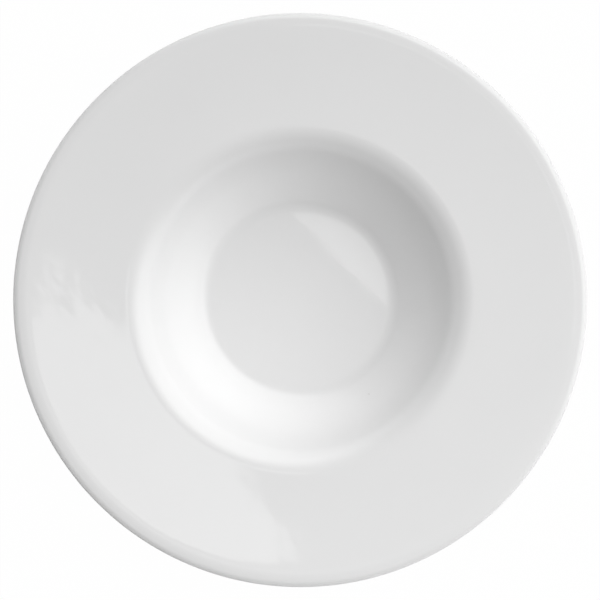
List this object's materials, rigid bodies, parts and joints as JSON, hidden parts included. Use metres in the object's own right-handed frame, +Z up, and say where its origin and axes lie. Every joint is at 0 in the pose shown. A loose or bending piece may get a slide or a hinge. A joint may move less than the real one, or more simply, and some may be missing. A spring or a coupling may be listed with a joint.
{
  "type": "rimmed soup plate",
  "caption": "Round soup plate with a deep flat-floored well, a wide gently rising rim with a rolled lip and a bare foot ring, in white glazed porcelain.",
  "frame": {"origin": "on the plate's axis, in the plane of the table that the foot ring stands on", "axes": "+Z up along the plate's axis; the plate is round, so +X and +Y are any two directions along the table"},
  "size_m": [0.28, 0.28, 0.0395],
  "materials": {
    "bare_porcelain": "matt fired clay, wiped bare of glaze",
    "white_glaze": "glossy white glaze"
  },
  "bodies": {
    "root": {"porcelain_body": "bare_porcelain", "outer_glaze": "white_glaze", "recess_glaze": "white_glaze"}
  },
  "joints": []
}
